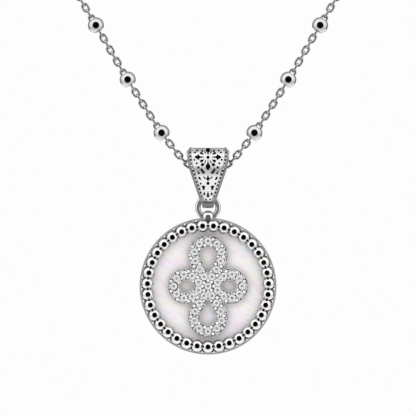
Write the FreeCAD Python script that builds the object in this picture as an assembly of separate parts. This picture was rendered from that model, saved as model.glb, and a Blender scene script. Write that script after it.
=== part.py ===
"""A disc pendant with a pierced bail on a fine bead-station necklace chain, in millimetres.

The front faces -Y and +Z is up. The origin is at the nape, in the middle of the clasp, where the necklace lies on
the neck. The pendant hangs below the bail at the front of the loop.
"""

import FreeCAD
import Part

import math
import os

from FreeCAD import Vector

# The neck loop: how far in front of the nape and below it the bail hangs.
NAPE_BACK = 112.0
NAPE_UP = 115.0

# Corners of half the chain's route, from the bail to the clasp: beside, behind and above the bail's axis. The other
# half is its mirror image.
ROUTE_HALF = (
    (2.6, 0.0, -1.16),
    (8.35, 0.0, 6.2),
    (16.5, 0.5, 20.2),
    (32.0, 6.0, 46.0),
    (49.0, 24.0, 70.0),
    (59.5, 52.0, 88.0),
    (55.5, 83.0, 102.0),
    (36.0, 105.0, 111.5),
    (14.0, 112.0, 115.0),
)
ROUTE_SETBACK = 0.45  # share of the shorter run that the arc at a corner takes up
CHAIN_WIDTH = 1.15  # across one oval link

# Round beads, drilled for the chain, spaced evenly either way from the bail.
BEAD_DIAMETER = 2.36
BEAD_BORE_CLEARANCE = 0.1
BEAD_FIRST = 9.1
BEAD_PITCH = 9.25
BEAD_LAST_CLEAR = 5.0  # least chain left between the last bead and the clasp

# The clasp: an oval of thick wire with a small eye at each end, in one piece.
CLASP_LENGTH = 10.0
CLASP_WIDTH = 4.2
CLASP_WIRE = 1.2
CLASP_EYE_DIAMETER = 2.4
CLASP_EYE_WIRE = 0.6
CLASP_CHAIN_GAP = 0.15

# The bail: a strap folded over the chain and closed at a small rounded foot. Heights are from its top fold's axis.
BAIL_TOP_RADIUS = 2.05
BAIL_WALL = 0.65
BAIL_FOOT_RADIUS = 1.05
BAIL_FOOT_DROP = 5.74
BAIL_SEAT_RADIUS = 0.5
BAIL_SEAT_DROP = 5.2

# Half of the bail's outline from the front, from its shoulder down to its foot.
BAIL_SIDE = (
    {"beside": 3.13, "above": 1.45},
    {"beside": 2.93, "above": -0.2},
    {"beside": 2.68, "above": -1.25},
    {"beside": 1.19, "above": -5.6},
    {"beside": 0.74, "above": -6.1},
)
BAIL_SHOULDER_CHAMFER = 0.4
BAIL_FOOT_CORNER = 0.3
BAIL_BORDER = 0.74  # width of the raised border
BAIL_RELIEF = 0.08  # how far the pierced field lies below the border
BORDER_HOLE_RADIUS = 0.14
BORDER_HOLE_INSET = 0.47
BORDER_HOLES = 13
BORDER_HOLE_TOP = 1.3
BORDER_HOLE_BOTTOM = -5.05

# Openings of the bail's front. A lobe is pointed at both ends, and a drop at its leading end alone. The lean is in
# degrees from straight up, clockwise from the front. Each that stands beside the middle is cut on both sides.
PIERCINGS = (
    {"kind": "dot", "beside": 0.0, "above": 0.63, "long": 0.48, "wide": 0.48, "lean": 0},
    {"kind": "lobe", "beside": 0.0, "above": 1.32, "long": 0.82, "wide": 0.23, "lean": 0},
    {"kind": "lobe", "beside": 0.0, "above": 1.68, "long": 0.62, "wide": 0.66, "lean": 0},
    {"kind": "drop", "beside": 0.0, "above": -0.12, "long": 1.04, "wide": 0.32, "lean": 0},
    {"kind": "lobe", "beside": 0.0, "above": -0.74, "long": 1.06, "wide": 0.72, "lean": 0},
    {"kind": "lobe", "beside": 1.12, "above": 0.66, "long": 1.26, "wide": 0.24, "lean": 90},
    {"kind": "lobe", "beside": 1.5, "above": 0.66, "long": 0.94, "wide": 0.52, "lean": 90},
    {"kind": "lobe", "beside": 1.41, "above": 0.66, "long": 0.9, "wide": 0.42, "lean": 0},
    {"kind": "drop", "beside": 0.84, "above": 1.16, "long": 0.74, "wide": 0.37, "lean": -118},
    {"kind": "drop", "beside": 0.83, "above": 0.15, "long": 0.72, "wide": 0.42, "lean": -61},
    {"kind": "lobe", "beside": 0.42, "above": 1.34, "long": 0.62, "wide": 0.17, "lean": 27},
    {"kind": "lobe", "beside": 0.42, "above": -0.08, "long": 0.78, "wide": 0.17, "lean": -20},
    {"kind": "dot", "beside": 0.8, "above": -0.44, "long": 0.48, "wide": 0.48, "lean": 0},
    {"kind": "dot", "beside": 0.84, "above": 1.57, "long": 0.32, "wide": 0.32, "lean": 0},
    {"kind": "dot", "beside": 1.58, "above": 1.62, "long": 0.3, "wide": 0.3, "lean": 0},
    {"kind": "dot", "beside": 1.88, "above": 1.33, "long": 0.3, "wide": 0.3, "lean": 0},
    {"kind": "dot", "beside": 1.99, "above": 0.26, "long": 0.3, "wide": 0.3, "lean": 0},
    {"kind": "dot", "beside": 1.64, "above": -0.24, "long": 0.32, "wide": 0.32, "lean": 0},
    {"kind": "dot", "beside": 1.4, "above": -0.86, "long": 0.38, "wide": 0.38, "lean": 0},
    {"kind": "drop", "beside": 1.4, "above": -1.55, "long": 0.62, "wide": 0.35, "lean": 30},
    {"kind": "lobe", "beside": 0.92, "above": -1.22, "long": 0.56, "wide": 0.34, "lean": 25},
    {"kind": "lobe", "beside": 0.7, "above": -1.52, "long": 0.68, "wide": 0.42, "lean": 40},
    {"kind": "lobe", "beside": 0.0, "above": -2.44, "long": 0.96, "wide": 0.34, "lean": 0},
    {"kind": "lobe", "beside": 0.0, "above": -2.5, "long": 0.68, "wide": 0.34, "lean": 90},
    {"kind": "lobe", "beside": 0.5, "above": -2.34, "long": 0.56, "wide": 0.21, "lean": 45},
    {"kind": "lobe", "beside": 1.22, "above": -2.43, "long": 0.68, "wide": 0.3, "lean": 35},
    {"kind": "drop", "beside": 0.0, "above": -3.14, "long": 0.52, "wide": 0.46, "lean": 0},
    {"kind": "dot", "beside": 1.07, "above": -3.22, "long": 0.3, "wide": 0.3, "lean": 0},
    {"kind": "lobe", "beside": 0.66, "above": -3.66, "long": 0.62, "wide": 0.36, "lean": 80},
    {"kind": "lobe", "beside": 0.64, "above": -3.86, "long": 0.68, "wide": 0.34, "lean": 8},
    {"kind": "drop", "beside": 0.53, "above": -4.62, "long": 0.56, "wide": 0.33, "lean": 0},
    {"kind": "drop", "beside": 0.0, "above": -4.74, "long": 0.98, "wide": 0.44, "lean": 0},
    {"kind": "dot", "beside": 0.3, "above": -5.5, "long": 0.27, "wide": 0.27, "lean": 0},
)

# The jump ring, and the room that the bail's foot gives it when it tilts.
RING_WIRE = 0.8
RING_MEAN_DIAMETER = 2.96
RING_ROOM = 0.1
RING_TILT = 28

# The pendant, whose depths are measured forward from its flat back.
DISC_RADIUS = 10.0
DISC_DROP = 18.18  # from the bail's axis to the disc's centre
BALANCE_DEPTH = 1.04  # depth that hangs plumb under the ring
PLATE_DEPTH = 0.5
CHANNEL_DEPTH = 1.25
RIM_DEPTH = 1.95
RIM_WALL = 0.36
PEARL_RADIUS = 8.3
PEARL_THICKNESS = 0.8
SMALL_GAP = 0.05
BALL_COUNT = 35
BALL_RING_RADIUS = 8.84
BALL_RADIUS = 0.785
BALL_DEPTH = 2.02

# The eyelet: a ring with a domed outside and a flared hole, and the saddle cut below it for the jump ring.
EYELET_HALF_WIDTH = 0.68
EYELET_HOLE_RADIUS = 0.54
EYELET_FLARE_RADIUS = 0.72
EYELET_EDGE_RADIUS = 0.76
EYELET_OUTER_RADIUS = 1.05
SADDLE_RADIUS = 0.6
SADDLE_HALF_LENGTH = 1.4

# The knot: a plate of four looped petals, two upright and two level. The reach is from the disc's centre to the
# band's middle line at the petal's end, and the bend is that line's radius there.
PETALS = (
    {"angle": 90, "reach": 6.6, "bend": 2.05},
    {"angle": 0, "reach": 5.0, "bend": 1.75},
    {"angle": 270, "reach": 6.6, "bend": 2.05},
    {"angle": 180, "reach": 5.0, "bend": 1.75},
)
BAND_WIDTH = 1.85
KNOT_THICKNESS = 0.95

# The stones: round brilliants in drilled seats, a cluster at the knot's middle and a row along each petal.
STONE_RADIUS = 0.5
STONE_TABLE_RADIUS = 0.28
STONE_CROWN = 0.16
STONE_GIRDLE = 0.04
STONE_PAVILION = 0.42
STONE_FACETS = 8
STONE_SINK = 0.06  # how far the girdle lies below the plate's top
STONE_PITCH = 1.3
CLUSTER_STONES = 8
CLUSTER_RADIUS = 1.5
PETAL_ROW_START = 2.75  # from the middle of the knot
SEAT_RADIUS = 0.54
SEAT_DEPTH = 0.57

BAIL_AXIS = Vector(0, -NAPE_BACK, -NAPE_UP)
X, Y, Z = Vector(1, 0, 0), Vector(0, 1, 0), Vector(0, 0, 1)
ORIGIN = Vector(0, 0, 0)


def save(name, shape):
    """One file for each piece, named after it."""
    shape.exportStep(f"parts/{name}.step")


def line(start, end):
    return Part.LineSegment(start, end).toShape()


def arc(start, middle, end):
    return Part.Arc(start, middle, end).toShape()


def chain_points():
    """Corners of the whole route, from the clasp's left eye through the bail to its right eye."""
    half = [BAIL_AXIS + Vector(*row) for row in ROUTE_HALF]
    half.append(Vector(CLASP_LENGTH / 2 + CLASP_CHAIN_GAP, 0, 0))
    return [Vector(-p.x, p.y, p.z) for p in reversed(half)] + half


def chain_spans(points):
    """The route's straight runs and tangent arcs, in order, each with its ends and length."""
    spans, start = [], points[0]
    for before, corner, after in zip(points, points[1:], points[2:]):
        into = (corner - before).normalize()
        out = (after - corner).normalize()
        half_turn = into.getAngle(out) / 2
        setback = ROUTE_SETBACK * min(before.distanceToPoint(corner), corner.distanceToPoint(after))
        radius = setback / math.tan(half_turn)
        inward = (out - into).normalize()
        centre = corner + inward * (radius / math.cos(half_turn))
        first, last = corner - into * setback, corner + out * setback
        spans.append({"from": start, "to": first, "length": start.distanceToPoint(first)})
        spans.append({
            "from": first, "to": last, "length": 2 * half_turn * radius, "middle": centre - inward * radius,
            "centre": centre, "radius": radius, "into": into,
        })
        start = last
    spans.append({"from": start, "to": points[-1], "length": start.distanceToPoint(points[-1])})
    return spans


def place_on(spans, distance):
    """The point this far along the route, and the direction there."""
    for span in spans:
        if distance <= span["length"]:
            break
        distance -= span["length"]
    if "radius" not in span:
        direction = (span["to"] - span["from"]).normalize()
        return span["from"] + direction * distance, direction
    angle = distance / span["radius"]
    outward = (span["from"] - span["centre"]).normalize()
    point = span["centre"] + (outward * math.cos(angle) + span["into"] * math.sin(angle)) * span["radius"]
    return point, span["into"] * math.cos(angle) - outward * math.sin(angle)


def chain(spans):
    """The cable chain's outer form: a round tube as wide as its links, from one eye of the clasp to the other."""
    edges = []
    for span in spans:
        if "radius" in span:
            edges.append(arc(span["from"], span["middle"], span["to"]))
        else:
            edges.append(line(span["from"], span["to"]))
    start, direction = place_on(spans, 0)
    profile = Part.Wire([Part.makeCircle(CHAIN_WIDTH / 2, start, direction)])
    tube = Part.Wire(edges).makePipeShell([profile], True, False)
    length = sum(span["length"] for span in spans)
    section = math.pi * (CHAIN_WIDTH / 2) ** 2
    print("chain length", round(length, 1), "volume over section times length", round(tube.Volume / section / length, 4))
    print("arc radii", [round(span["radius"], 1) for span in spans if "radius" in span])
    return tube


def bead(centre, direction):
    """A ball drilled through its middle, turned about its bore."""
    radius, bore = BEAD_DIAMETER / 2, CHAIN_WIDTH / 2 + BEAD_BORE_CLEARANCE
    across = direction.cross(X + Z).normalize()
    along = direction * math.sqrt(radius ** 2 - bore ** 2)
    start, end = centre + across * bore - along, centre + across * bore + along
    profile = Part.Face(Part.Wire([arc(start, centre + across * radius, end), line(end, start)]))
    return profile.revolve(centre, direction, 360)


def station_beads(spans):
    """Drilled round beads, spaced evenly along the chain either way from the bail."""
    length = sum(span["length"] for span in spans)
    count = int((length / 2 - BEAD_LAST_CLEAR - BEAD_FIRST) / BEAD_PITCH) + 1
    beads = []
    for side in (-1, 1):
        for n in range(count):
            beads.append(bead(*place_on(spans, length / 2 + side * (BEAD_FIRST + n * BEAD_PITCH))))
    print("beads", len(beads), "valid", all(b.isValid() and b.ShapeType == "Solid" for b in beads))
    return Part.makeCompound(beads)


def clasp():
    """A plain oval of thick wire with a small eye soldered at each end, lying flat on the neck."""
    wire = CLASP_WIRE / 2
    bend = CLASP_WIDTH / 2 - wire
    straight = CLASP_LENGTH / 2 - CLASP_EYE_DIAMETER + CLASP_EYE_WIRE / 2 - CLASP_WIDTH / 2
    eye_mean = (CLASP_EYE_DIAMETER - CLASP_EYE_WIRE) / 2
    eye_centre = Vector(CLASP_LENGTH / 2 - CLASP_EYE_DIAMETER / 2, 0, 0)
    beyond = Part.makeBox(CLASP_WIDTH, CLASP_WIDTH, CLASP_WIDTH, Vector(0, -CLASP_WIDTH / 2, -CLASP_WIDTH / 2))
    half = Part.makeTorus(bend, wire, ORIGIN, Y).common(beyond)
    half.translate(X * straight)
    end = half.fuse(Part.makeTorus(eye_mean, CLASP_EYE_WIRE / 2, eye_centre, Y))
    sides = [Part.makeCylinder(wire, 2 * straight, Vector(-straight, 0, z), X) for z in (-bend, bend)]
    return end.multiFuse(sides + [end.mirror(ORIGIN, X)]).Solids[0]


def fold(top_radius, low_radius, drop):
    """The solid inside a folded strap: two circles and their tangents from the side, wider than the bail."""
    wide = 2 * BAIL_SIDE[0]["beside"]
    lean = math.asin((top_radius - low_radius) / drop)
    shift = Vector(0, -math.cos(lean), -math.sin(lean))
    start = X * (-wide / 2)
    foot = start - Z * drop
    front = [start + shift * top_radius, foot + shift * low_radius]
    back = [Vector(p.x, -p.y, p.z) for p in front]
    edges = [
        arc(front[0], start + Z * top_radius, back[0]),
        line(back[0], back[1]),
        arc(back[1], foot - Z * low_radius, front[1]),
        line(front[1], front[0]),
    ]
    return Part.Face(Part.Wire(edges)).extrude(X * wide)


def bail_front(inset):
    """The bail's outline from the front, drawn in by inset, as a prism through the strap."""
    deep = 2 * BAIL_TOP_RADIUS
    top = BAIL_TOP_RADIUS + 1
    foot = -BAIL_FOOT_DROP - BAIL_FOOT_RADIUS
    side = [Vector(row["beside"] - inset, -deep, row["above"]) for row in BAIL_SIDE]
    shoulder, ankle = side[0], side[-1]
    peak = Vector(shoulder.x - BAIL_SHOULDER_CHAMFER, -deep, shoulder.z + BAIL_SHOULDER_CHAMFER)
    low = Vector(ankle.x, -deep, foot + BAIL_FOOT_CORNER)
    corner = Vector(ankle.x - BAIL_FOOT_CORNER, -deep, low.z)
    bottom = corner - Z * BAIL_FOOT_CORNER
    middle = corner + Vector(1, 0, -1).normalize() * BAIL_FOOT_CORNER
    path = [Vector(peak.x, -deep, top), peak] + side + [low]
    edges = [line(a, b) for a, b in zip(path, path[1:])]
    edges.append(arc(low, middle, bottom))
    edges += [edge.mirror(ORIGIN, X) for edge in edges]
    edges.append(line(Vector(-peak.x, -deep, top), path[0]))
    edges.append(line(Vector(-bottom.x, -deep, foot), bottom))
    return Part.Face(Part.Wire(Part.__sortEdges__(edges))).extrude(Y * (2 * deep))


def opening(kind, beside, above, long, wide, lean):
    """A cutter of one opening, standing across the strap's front."""
    half = long / 2
    low, high = Z * -half, Z * half
    if kind == "dot":
        edges = [Part.makeCircle(wide / 2, ORIGIN, Y)]
    elif kind == "lobe":
        edges = [arc(low, X * (wide / 2), high), arc(high, X * (-wide / 2), low)]
    else:
        radius = wide / 2
        rise = radius / (long - radius)
        right = Vector(radius * math.sqrt(1 - rise ** 2), 0, radius - half + radius * rise)
        left = Vector(-right.x, 0, right.z)
        edges = [arc(right, low, left), line(left, high), line(high, right)]
    cutter = Part.Face(Part.Wire(edges)).extrude(Y * (2 * BAIL_TOP_RADIUS))
    cutter.rotate(ORIGIN, Y, lean)
    cutter.translate(Vector(beside, -2 * BAIL_TOP_RADIUS - SMALL_GAP, above))
    return cutter


def side_at(above):
    """Half of the bail's width at a height between its shoulder and its foot."""
    for high, low in zip(BAIL_SIDE, BAIL_SIDE[1:]):
        if above >= low["above"]:
            break
    share = (above - low["above"]) / (high["above"] - low["above"])
    return low["beside"] + share * (high["beside"] - low["beside"])


def openings():
    """Cutters for the pierced pattern and for the row of small holes along each border."""
    rows = list(PIERCINGS)
    for n in range(BORDER_HOLES):
        above = BORDER_HOLE_TOP + (BORDER_HOLE_BOTTOM - BORDER_HOLE_TOP) * n / (BORDER_HOLES - 1)
        wide = 2 * BORDER_HOLE_RADIUS
        beside = side_at(above) - BORDER_HOLE_INSET
        rows.append({"kind": "dot", "beside": beside, "above": above, "long": wide, "wide": wide, "lean": 0})
    cutters = []
    for row in rows:
        cutters.append(opening(**row))
        if row["beside"]:
            cutters.append(opening(**row).mirror(ORIGIN, X))
    print("bail openings", len(cutters))
    return cutters


def ring_room():
    """The space that the jump ring needs as it tilts about its seat: a hoop that widens below the seat."""
    wide = 2 * RING_MEAN_DIAMETER
    mean, wire = RING_MEAN_DIAMETER / 2, RING_WIRE / 2 + RING_ROOM
    seat = Vector(-wide / 2, 0, -BAIL_SEAT_DROP)
    centre = Vector(0, -wide / 2, -BAIL_SEAT_DROP - mean)
    hoop = Part.makeCylinder(mean + wire, wide, centre, Y).cut(Part.makeCylinder(mean - wire, wide, centre, Y))
    low_half = wire + 2 * mean * math.tan(math.radians(RING_TILT))
    right = [seat + Y * wire + Z * wire, seat + Y * wire, seat + Y * low_half - Z * (2 * mean)]
    left = [Vector(p.x, -p.y, p.z) for p in reversed(right)]
    wedge = Part.Face(Part.makePolygon(right + left + right[:1])).extrude(X * wide)
    return hoop.common(wedge)


def bail():
    """The pierced strap, with raised borders, and clear room for the chain and the jump ring."""
    outside = fold(BAIL_TOP_RADIUS, BAIL_FOOT_RADIUS, BAIL_FOOT_DROP)
    inside = fold(BAIL_TOP_RADIUS - BAIL_WALL, BAIL_SEAT_RADIUS, BAIL_SEAT_DROP)
    strap = outside.cut(inside).common(bail_front(0))
    sunk = fold(BAIL_TOP_RADIUS - BAIL_RELIEF, BAIL_FOOT_RADIUS - BAIL_RELIEF, BAIL_FOOT_DROP)
    above_foot = Part.makeBox(20, 20, 20, Vector(-10, -10, BAIL_SIDE[3]["above"]))
    strap = strap.cut(outside.cut(sunk).common(bail_front(BAIL_BORDER)).common(above_foot))
    strap = strap.cut(openings())
    strap = strap.cut(ring_room())
    strap.translate(BAIL_AXIS)
    print("bail solids", len(strap.Solids), "valid", strap.isValid())
    return strap.Solids[0]


def jump_ring():
    """A plain closed ring of round wire, face on."""
    centre = BAIL_AXIS - Z * (BAIL_SEAT_DROP + RING_MEAN_DIAMETER / 2)
    return Part.makeTorus(RING_MEAN_DIAMETER / 2, RING_WIRE / 2, centre, Y)


def disc_centre(depth):
    """The middle of the disc at a depth measured forward from the pendant's back."""
    return BAIL_AXIS + Vector(0, BALANCE_DEPTH - depth, -DISC_DROP)


def drum(radius, back, front):
    """A round slab of the disc between two depths."""
    return Part.makeCylinder(radius, front - back, disc_centre(back), -Y)


def eyelet(pivot):
    """A short tube with a domed outside and a flared hole, about the ring's lowest point."""

    def at(beside, radius):
        return pivot + X * beside + Z * radius

    half, edge, flare = EYELET_HALF_WIDTH, EYELET_EDGE_RADIUS, EYELET_FLARE_RADIUS
    edges = [
        arc(at(-half, edge), at(0, EYELET_OUTER_RADIUS), at(half, edge)),
        line(at(half, edge), at(half, flare)),
        arc(at(half, flare), at(0, EYELET_HOLE_RADIUS), at(-half, flare)),
        line(at(-half, flare), at(-half, edge)),
    ]
    return Part.Face(Part.Wire(edges)).revolve(pivot, X, 360)


def pendant_frame():
    """Back plate, channel, rim wall, ring of balls and eyelet, soldered into one piece."""
    body = drum(DISC_RADIUS, 0, RIM_DEPTH)
    body = body.cut(drum(DISC_RADIUS - RIM_WALL, CHANNEL_DEPTH, RIM_DEPTH + 1))
    body = body.cut(drum(PEARL_RADIUS + SMALL_GAP, PLATE_DEPTH, RIM_DEPTH + 1))
    pivot = BAIL_AXIS - Z * (BAIL_SEAT_DROP + RING_MEAN_DIAMETER)
    saddle = Part.makeCylinder(SADDLE_RADIUS, 2 * SADDLE_HALF_LENGTH, pivot - X * SADDLE_HALF_LENGTH, X)
    balls = []
    for n in range(BALL_COUNT):
        angle = math.radians(-90 + n * 360 / BALL_COUNT)
        outward = Vector(math.cos(angle), 0, math.sin(angle))
        balls.append(Part.makeSphere(BALL_RADIUS, disc_centre(BALL_DEPTH) + outward * BALL_RING_RADIUS, -Y))
    frame = body.multiFuse(balls).cut(saddle).fuse(eyelet(pivot))
    print("frame solids", len(frame.Solids), "valid", frame.isValid())
    return frame.Solids[0]


def pearl_disc():
    """A flat disc of shell, let into the frame under the balls' inner edge."""
    back = PLATE_DEPTH + SMALL_GAP
    return drum(PEARL_RADIUS, back, back + PEARL_THICKNESS)


def petal_frame(petal):
    """A petal's axis, the direction across it, its end circle's centre and the lean of its legs."""
    angle = math.radians(petal["angle"])
    axis = Vector(math.cos(angle), 0, math.sin(angle))
    across = Vector(-axis.z, 0, axis.x)
    centre = petal["reach"] - petal["bend"]
    return axis, across, centre, math.asin(petal["bend"] / centre)


def teardrop(petal, radius, front):
    """A prism of a circle round a petal's bend, drawn to a point along the lines of its legs."""
    axis, across, centre, lean = petal_frame(petal)
    point = axis * (centre - radius / math.sin(lean))
    end = axis * (centre + radius)
    sides = [
        axis * (centre - radius * math.sin(lean)) + across * (side * radius * math.cos(lean)) for side in (-1, 1)
    ]
    edges = [line(point, sides[0]), arc(sides[0], end, sides[1]), line(sides[1], point)]
    return Part.Face(Part.Wire(edges)).extrude(Y * -front)


def petal_row(petal):
    """Evenly spaced places of stones along one petal's middle line, from leg to leg round its end."""
    axis, across, centre, lean = petal_frame(petal)
    bend = petal["bend"]
    leg = centre * math.cos(lean) - PETAL_ROW_START
    turn = math.pi / 2 + lean
    length = 2 * (leg + turn * bend)
    count = round(length / STONE_PITCH)
    places = []
    for n in range(count + 1):
        from_end = abs(n / count - 0.5) * length
        side = math.copysign(1, n - count / 2)
        angle = min(from_end / bend, turn)
        along = centre + bend * math.cos(angle)
        beside = bend * math.sin(angle)
        past = max(0, from_end - turn * bend)
        along -= past * math.cos(lean)
        beside -= past * math.sin(lean)
        places.append(axis * along + across * (side * beside))
    return places


def stone_places():
    """Middles of all the stones: one in the centre, a ring round it, and a row along each petal."""
    places = [Vector(0, 0, 0)]
    for n in range(CLUSTER_STONES):
        angle = 2 * math.pi * (n + 0.5) / CLUSTER_STONES
        places.append(Vector(math.cos(angle), 0, math.sin(angle)) * CLUSTER_RADIUS)
    for petal in PETALS:
        places += petal_row(petal)
    return places


def knot_foot():
    """The depth of the knot plate's underside."""
    return PLATE_DEPTH + PEARL_THICKNESS + 2 * SMALL_GAP


def knot_plate(places):
    """The raised plate of four looped petals, with a drilled seat for each stone."""
    half = BAND_WIDTH / 2
    bands = [teardrop(petal, petal["bend"] + half, KNOT_THICKNESS) for petal in PETALS]
    holes = []
    for petal in PETALS:
        hole = teardrop(petal, petal["bend"] - half, 2 * KNOT_THICKNESS)
        hole.translate(Y * (KNOT_THICKNESS / 2))
        holes.append(hole)
    seat_floor = Y * (SEAT_DEPTH - KNOT_THICKNESS)
    seats = [Part.makeCylinder(SEAT_RADIUS, KNOT_THICKNESS, place + seat_floor, -Y) for place in places]
    plate = bands[0].multiFuse(bands[1:]).removeSplitter().cut(holes + seats)
    plate.translate(disc_centre(knot_foot()))
    print("knot solids", len(plate.Solids), "valid", plate.isValid(), "stones", len(places))
    return plate.Solids[0]


def stone(place):
    """A round brilliant with a table, crown, girdle and pavilion, facing front."""
    girdle_top = STONE_SINK - KNOT_THICKNESS

    def octagon(radius, y):
        turns = [2 * math.pi * (n + 0.5) / STONE_FACETS for n in range(STONE_FACETS)]
        return [Vector(radius * math.cos(t), y, radius * math.sin(t)) for t in turns]

    table = octagon(STONE_TABLE_RADIUS, girdle_top - STONE_CROWN)
    upper = octagon(STONE_RADIUS, girdle_top)
    lower = octagon(STONE_RADIUS, girdle_top + STONE_GIRDLE)
    culet = Vector(0, girdle_top + STONE_GIRDLE + STONE_PAVILION, 0)
    facets = [table]
    for n in range(STONE_FACETS):
        m = (n + 1) % STONE_FACETS
        facets.append([table[n], table[m], upper[m], upper[n]])
        facets.append([upper[n], upper[m], lower[m], lower[n]])
        facets.append([lower[n], lower[m], culet])
    faces = [Part.Face(Part.makePolygon(corners + corners[:1])) for corners in facets]
    gem = Part.makeSolid(Part.makeShell(faces))
    if gem.Volume < 0:
        gem.reverse()
    gem.translate(place + disc_centre(knot_foot()))
    return gem


def build():
    """Makes every piece and saves it."""
    os.makedirs("parts", exist_ok=True)
    spans = chain_spans(chain_points())
    save("chain", chain(spans))
    save("station_beads", station_beads(spans))
    save("clasp", clasp())
    save("bail", bail())
    save("jump_ring", jump_ring())
    save("pendant_frame", pendant_frame())
    save("pearl_disc", pearl_disc())
    places = stone_places()
    save("knot_plate", knot_plate(places))
    for number, place in enumerate(places, 1):
        save(f"stone_{number:02d}", stone(place))


build()
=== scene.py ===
"""A disc pendant on a bead-station chain, dressed for its looks. Metres; the front faces -Y and +Z is up."""

import math

import bmesh
import bpy
from mathutils import Matrix, Vector
from mathutils.bvhtree import BVHTree
from mathutils.kdtree import KDTree


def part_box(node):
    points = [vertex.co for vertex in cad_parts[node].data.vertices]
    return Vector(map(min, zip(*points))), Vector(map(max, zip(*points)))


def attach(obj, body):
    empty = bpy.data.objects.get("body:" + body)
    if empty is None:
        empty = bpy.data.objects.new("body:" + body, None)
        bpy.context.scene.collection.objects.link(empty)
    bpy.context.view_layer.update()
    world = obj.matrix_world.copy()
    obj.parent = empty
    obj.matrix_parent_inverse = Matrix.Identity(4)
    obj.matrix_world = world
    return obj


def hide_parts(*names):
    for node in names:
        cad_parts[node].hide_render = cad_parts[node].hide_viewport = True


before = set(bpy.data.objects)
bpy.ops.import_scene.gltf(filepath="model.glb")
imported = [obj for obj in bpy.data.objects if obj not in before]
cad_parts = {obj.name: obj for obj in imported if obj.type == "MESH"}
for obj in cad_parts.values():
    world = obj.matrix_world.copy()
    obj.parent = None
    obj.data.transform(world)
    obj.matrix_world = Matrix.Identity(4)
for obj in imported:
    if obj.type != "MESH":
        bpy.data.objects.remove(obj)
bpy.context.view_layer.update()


# Studio. White paper behind, a pale floor below, and a broad soft tent of light with a dark opening in front, where
# the lens looks in. Polished metal shows that opening as a dark spot, and matt surfaces get even white light.

MM = 0.001
DISC_FACE = -113 * MM
CAMERA_BACK = 600 * MM
CAMERA_HEIGHT = -121.76 * MM
FRAME_WIDTH = 60.736 * MM
SENSOR = 36.0
FLOOR_RADIUS = 180 * MM
FLOOR_DROP = 200 * MM
EVEN_WHITE = 1.16
TENT_WHITE = 1.15
SPARKLE_WHITE = 1.3
PAPER_WHITE = 0.982

camera = bpy.data.objects.new("camera", bpy.data.cameras.new("camera"))
bpy.context.scene.collection.objects.link(camera)
camera.data.sensor_width = SENSOR
camera.data.lens = SENSOR * CAMERA_BACK / FRAME_WIDTH
camera.data.clip_start = 0.01
camera.data.clip_end = 10
camera.location = (0, DISC_FACE - CAMERA_BACK, CAMERA_HEIGHT)
camera.rotation_euler = (math.pi / 2, 0, 0)
bpy.context.scene.camera = camera
bpy.context.scene.view_settings.view_transform = "Standard"


def wire(tree, kind, inputs=None, **settings):
    """Adds a node with its settings, and joins or sets its inputs by name or number."""
    node = tree.nodes.new(kind)
    for key, value in settings.items():
        setattr(node, key, value)
    for key, value in (inputs or {}).items():
        if isinstance(value, bpy.types.NodeSocket):
            tree.links.new(value, node.inputs[key])
        else:
            node.inputs[key].default_value = value
    return node


def ramp(tree, factor, stops):
    """A colour ramp from pairs of place and colour or grey."""
    node = wire(tree, "ShaderNodeValToRGB", {"Fac": factor})
    elements = node.color_ramp.elements
    while len(elements) < len(stops):
        elements.new(0.5)
    for element, (place, colour) in zip(elements, stops):
        element.position = place
        element.color = (colour,) * 3 + (1,) if isinstance(colour, float) else tuple(colour) + (1,)
    return node.outputs["Color"]


def multiply(tree, first, second):
    """One colour multiplied by another."""
    both = {"Factor": 1.0, "A": first, "B": second}
    return wire(tree, "ShaderNodeMix", both, data_type="RGBA", blend_type="MULTIPLY").outputs["Result"]


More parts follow.
